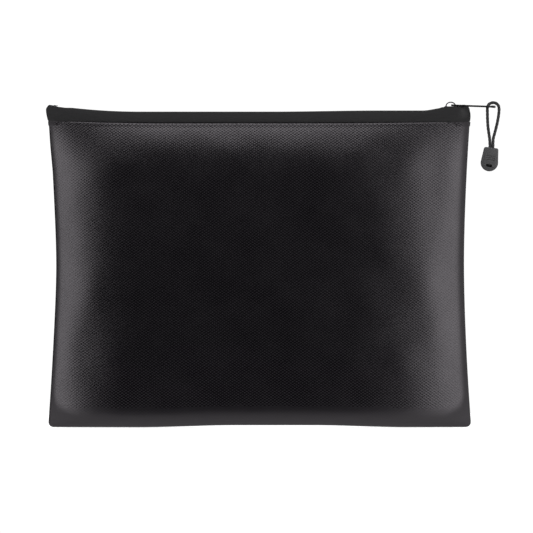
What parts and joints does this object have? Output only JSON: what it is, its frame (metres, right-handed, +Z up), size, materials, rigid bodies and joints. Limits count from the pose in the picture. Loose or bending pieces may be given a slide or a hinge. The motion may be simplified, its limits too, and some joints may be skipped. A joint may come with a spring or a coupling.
{
  "type": "lipo safe bag",
  "caption": "Upright flat pouch of coated glass cloth for storing lithium batteries, with a zip across the top and a cord pull on the slider.",
  "frame": {"origin": "middle of the flat base strip that the bag stands on", "axes": "+X to the right along the bag's width, towards the closed end of the zip; -Y is the front face; +Z up towards the zip"},
  "size_m": [0.3603, 0.0332, 0.26],
  "materials": {
    "coated_cloth": "silicone-coated glass cloth, fine plain weave, soft sheen",
    "lining_cloth": "uncoated woven glass cloth",
    "zip_tape": "matte woven polyester tape",
    "zip_coil": "nylon coil",
    "thread": "sewing thread",
    "binding": "matte woven binding tape",
    "slider_metal": "black enamel, slightly worn at the edges",
    "cord": "braided cord",
    "grip_plastic": "moulded plastic, fine texture"
  },
  "bodies": {
    "bag": {"front_panel": "coated_cloth", "front_lining": "lining_cloth", "front_zip_tape": "zip_tape", "front_zip_coil": "zip_coil", "front_zip_stitching": "thread", "left_seam_binding": "binding", "right_seam_binding": "binding", "left_seam_stitching": "thread", "right_seam_stitching": "thread", "left_zip_bartack": "thread", "right_zip_bartack": "thread"},
    "back_side": {"back_panel": "coated_cloth", "back_lining": "lining_cloth", "back_zip_tape": "zip_tape", "back_zip_coil": "zip_coil", "back_zip_stitching": "thread"},
    "slider": {"slider_body": "slider_metal", "slider_bail": "slider_metal"},
    "tab": {"pull_tab": "slider_metal"},
    "cord": {"cord_loop": "cord"},
    "grip": {"cord_grip_front": "grip_plastic", "cord_grip_back": "grip_plastic", "cord_knot": "cord"}
  },
  "joints": [
    {"name": "zip_slide", "type": "slide", "parent": "bag", "child": "slider", "axis": [1, 0, 0], "range_m": [-0.305, 0]},
    {"name": "mouth_open", "type": "hinge", "parent": "bag", "child": "back_side", "pos_m": [0, 0.009, 0.0004], "axis": [-1, 0, 0], "range_deg": [0, 10], "deforming": ["back_zip_tape", "back_zip_coil"]},
    {"name": "pull_tab_hinge", "type": "hinge", "parent": "slider", "child": "tab", "pos_m": [0.1525, 0, 0.2566], "axis": [0, -1, 0], "range_deg": [0, 165]},
    {"name": "cord_hang", "type": "hinge", "parent": "tab", "child": "cord", "pos_m": [0.18125, -0.01606, 0.2551], "axis": [0, -1, 0], "range_deg": [-165, 0], "deforming": ["cord_loop"]},
    {"name": "grip_swing", "type": "hinge", "parent": "cord", "child": "grip", "pos_m": [0.1843, -0.01606, 0.2225], "axis": [0, -1, 0], "range_deg": [-40, 40]}
  ],
  "couplings": [
    {"joint": "mouth_open", "follows": "zip_slide", "rad_per_m": -0.5722},
    {"joint": "cord_hang", "follows": "pull_tab_hinge", "ratio": -1}
  ]
}
